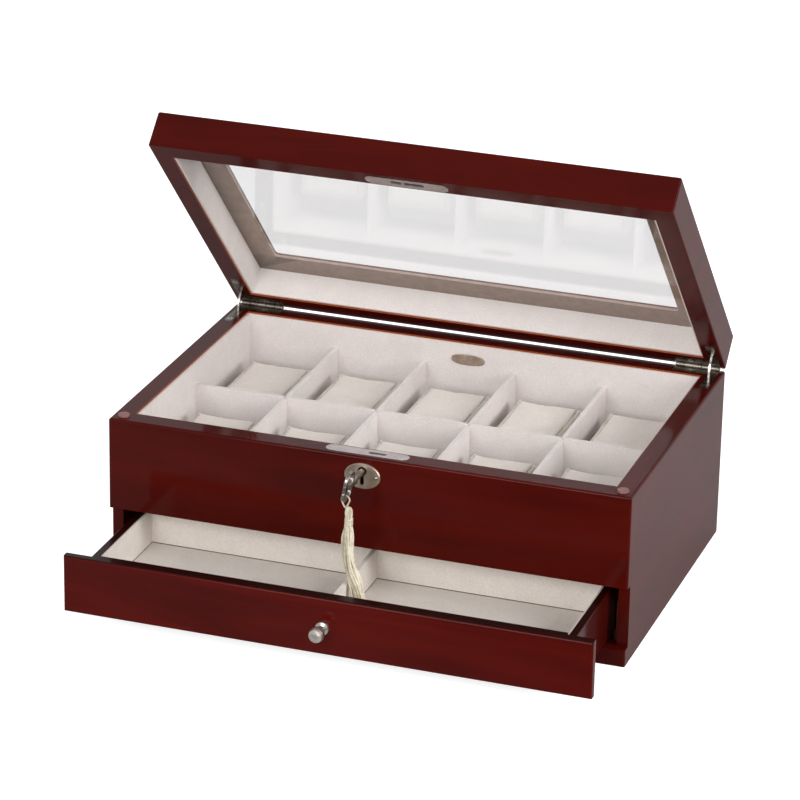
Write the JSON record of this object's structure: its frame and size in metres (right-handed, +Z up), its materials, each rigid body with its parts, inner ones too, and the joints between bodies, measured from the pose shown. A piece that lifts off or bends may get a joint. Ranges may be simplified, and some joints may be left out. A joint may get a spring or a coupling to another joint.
{
  "type": "watch box with drawer",
  "caption": "Lacquered wooden watch box with a glazed hinged lid over a divided, lined tray with pillows, a lock with key and tassel, and a pull-out drawer below.",
  "frame": {"origin": "centre of the case's base, on the surface it stands on", "axes": "+Z up, +X to the right along the front, +Y from the front to the back, lid open and drawer pulled out as at rest"},
  "size_m": [0.356, 0.3424, 0.3018],
  "materials": {
    "lacquered_wood": "gloss lacquer, dark cherry",
    "plain_board": "stained",
    "velour_lining": "cream velour",
    "pillow_fabric": "cream brushed fabric",
    "satin_nickel": "satin nickel",
    "silk": "ivory silk thread",
    "clear_glass": "clear",
    "soft_pad": "translucent"
  },
  "bodies": {
    "case": {"side_panel_left": "lacquered_wood", "side_panel_right": "lacquered_wood", "back_panel": "lacquered_wood", "front_fascia": "lacquered_wood", "base_rail": "lacquered_wood", "bottom_board": "plain_board", "deck_board": "plain_board", "drawer_runner_left": "plain_board", "drawer_runner_right": "plain_board", "tray_floor_lining": "velour_lining", "tray_wall_lining": "velour_lining", "long_divider": "velour_lining", "cross_dividers": "velour_lining", "lock_case": "satin_nickel", "lock_face_plate": "satin_nickel", "escutcheon": "satin_nickel", "escutcheon_pins": "satin_nickel", "bumper_discs": "soft_pad", "badge_plate": "satin_nickel", "hinge_lower_left": "satin_nickel", "hinge_lower_right": "satin_nickel", "hinge_pins": "satin_nickel", "case_screws": "satin_nickel"},
    "lid": {"lid_rail_front": "lacquered_wood", "lid_rail_back": "lacquered_wood", "lid_rail_left": "lacquered_wood", "lid_rail_right": "lacquered_wood", "lid_top_frame": "lacquered_wood", "lid_glass": "clear_glass", "lid_lining": "velour_lining", "strike_plate": "satin_nickel", "hinge_upper_left": "satin_nickel", "hinge_upper_right": "satin_nickel", "lid_screws": "satin_nickel"},
    "stays": {"hinge_stay_left": "satin_nickel", "hinge_stay_right": "satin_nickel"},
    "drawer": {"drawer_front": "lacquered_wood", "drawer_side_left": "lacquered_wood", "drawer_side_right": "lacquered_wood", "drawer_back": "lacquered_wood", "drawer_bottom": "plain_board", "drawer_lining": "velour_lining", "drawer_divider": "velour_lining", "drawer_partition": "velour_lining", "drawer_knob": "satin_nickel"},
    "lock_bolt": {"lock_bolt": "satin_nickel"},
    "key": {"key": "satin_nickel"},
    "tassel": {"tassel_cord": "silk", "tassel_head": "silk", "tassel_skirt": "silk"},
    "pillow_01": {"pillow_01": "pillow_fabric"},
    "pillow_02": {"pillow_02": "pillow_fabric"},
    "pillow_03": {"pillow_03": "pillow_fabric"},
    "pillow_04": {"pillow_04": "pillow_fabric"},
    "pillow_05": {"pillow_05": "pillow_fabric"},
    "pillow_06": {"pillow_06": "pillow_fabric"},
    "pillow_07": {"pillow_07": "pillow_fabric"},
    "pillow_08": {"pillow_08": "pillow_fabric"},
    "pillow_09": {"pillow_09": "pillow_fabric"},
    "pillow_10": {"pillow_10": "pillow_fabric"}
  },
  "joints": [
    {"name": "lid_hinge", "type": "hinge", "parent": "case", "child": "lid", "pos_m": [0, 0.11545, 0.119], "axis": [-1, 0, 0], "range_deg": [-45.5, 49.5]},
    {"name": "stays_turn", "type": "hinge", "parent": "case", "child": "stays", "pos_m": [0, 0.11545, 0.119], "axis": [-1, 0, 0], "range_deg": [-22.75, 24.75]},
    {"name": "drawer_slide", "type": "slide", "parent": "case", "child": "drawer", "axis": [0, -1, 0], "range_m": [-0.0758, 0.05], "deforming": ["tassel_skirt"]},
    {"name": "key_turn", "type": "hinge", "parent": "case", "child": "key", "pos_m": [-0.0009, -0.11575, 0.1088], "axis": [0, 1, 0], "range_deg": [-100, 0]},
    {"name": "bolt_lift", "type": "slide", "parent": "case", "child": "lock_bolt", "axis": [0, 0, 1], "range_m": [0, 0.006]},
    {"name": "tassel_swing", "type": "hinge", "parent": "key", "child": "tassel", "pos_m": [-0.00248, -0.14355, 0.09984], "axis": [0, 1, 0], "range_deg": [0, 100]},
    {"name": "pillow_01_lift", "type": "slide", "parent": "case", "child": "pillow_01", "axis": [0, 0, 1], "range_m": [0, 0.044]},
    {"name": "pillow_02_lift", "type": "slide", "parent": "case", "child": "pillow_02", "axis": [0, 0, 1], "range_m": [0, 0.044]},
    {"name": "pillow_03_lift", "type": "slide", "parent": "case", "child": "pillow_03", "axis": [0, 0, 1], "range_m": [0, 0.044]},
    {"name": "pillow_04_lift", "type": "slide", "parent": "case", "child": "pillow_04", "axis": [0, 0, 1], "range_m": [0, 0.044]},
    {"name": "pillow_05_lift", "type": "slide", "parent": "case", "child": "pillow_05", "axis": [0, 0, 1], "range_m": [0, 0.044]},
    {"name": "pillow_06_lift", "type": "slide", "parent": "case", "child": "pillow_06", "axis": [0, 0, 1], "range_m": [0, 0.044]},
    {"name": "pillow_07_lift", "type": "slide", "parent": "case", "child": "pillow_07", "axis": [0, 0, 1], "range_m": [0, 0.044]},
    {"name": "pillow_08_lift", "type": "slide", "parent": "case", "child": "pillow_08", "axis": [0, 0, 1], "range_m": [0, 0.044]},
    {"name": "pillow_09_lift", "type": "slide", "parent": "case", "child": "pillow_09", "axis": [0, 0, 1], "range_m": [0, 0.044]},
    {"name": "pillow_10_lift", "type": "slide", "parent": "case", "child": "pillow_10", "axis": [0, 0, 1], "range_m": [0, 0.044]}
  ],
  "couplings": [
    {"joint": "stays_turn", "follows": "lid_hinge", "ratio": 0.5},
    {"joint": "key_turn", "follows": "bolt_lift", "rad_per_m": -290.89},
    {"joint": "tassel_swing", "follows": "bolt_lift", "rad_per_m": 290.89}
  ]
}
